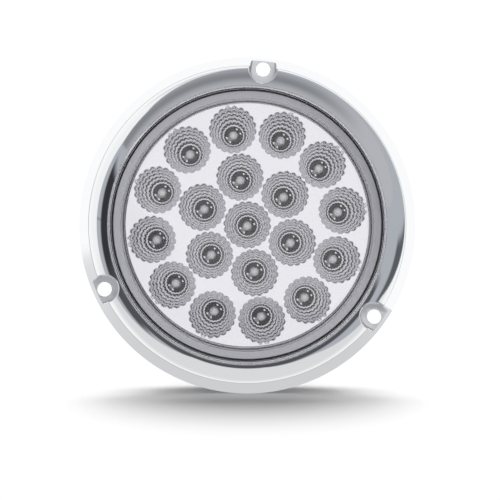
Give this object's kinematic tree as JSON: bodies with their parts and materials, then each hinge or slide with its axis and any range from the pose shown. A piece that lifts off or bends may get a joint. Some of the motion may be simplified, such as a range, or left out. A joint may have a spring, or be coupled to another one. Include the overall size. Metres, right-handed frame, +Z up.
{
  "type": "trailer tail light",
  "caption": "Round sealed LED stop, turn and tail light with a clear lens over fluted reflector cups, in a chrome screw-on flange with a plug socket behind.",
  "frame": {"origin": "on the lamp's axis, in the plane of the panel that the flange is screwed to", "axes": "the lens faces -Y, the housing and plug socket point to +Y, +Z is up as pictured, +X is to the viewer's right"},
  "size_m": [0.1396, 0.0435, 0.1397],
  "materials": {
    "bezel_chrome": "bright chrome plating on moulded plastic",
    "lens_clear": "clear polished polycarbonate",
    "reflector_mirror": "vacuum-metallised plastic",
    "seal_rubber": "matt black rubber",
    "housing_black": "black moulded plastic, fine grain",
    "ring_black": "black moulded plastic",
    "led_package": "grey LED package with a clear dome",
    "board_green": "green solder mask",
    "potting_resin": "black potting resin",
    "terminal_brass": "bright brass",
    "screw_steel": "zinc-plated steel",
    "chip_black": "moulded black package",
    "capacitor_can": "plain aluminium can"
  },
  "bodies": {
    "root": {"board_screw_1": "screw_steel", "board_screw_2": "screw_steel", "board_screw_3": "screw_steel", "capacitor": "capacitor_can", "circuit_board": "board_green", "diode_stop": "chip_black", "diode_tail": "chip_black", "flange_bezel": "bezel_chrome", "housing": "housing_black", "led_01": "led_package", "led_02": "led_package", "led_03": "led_package", "led_04": "led_package", "led_05": "led_package", "led_06": "led_package", "led_07": "led_package", "led_08": "led_package", "led_09": "led_package", "led_10": "led_package", "led_11": "led_package", "led_12": "led_package", "led_13": "led_package", "led_14": "led_package", "led_15": "led_package", "led_16": "led_package", "led_17": "led_package", "led_18": "led_package", "led_19": "led_package", "lens": "lens_clear", "lens_seal": "seal_rubber", "potting": "potting_resin", "reflector": "reflector_mirror", "regulator": "chip_black", "resistor_1": "chip_black", "resistor_2": "chip_black", "retaining_ring": "ring_black", "terminal_1": "terminal_brass", "terminal_2": "terminal_brass", "terminal_3": "terminal_brass"}
  },
  "joints": []
}
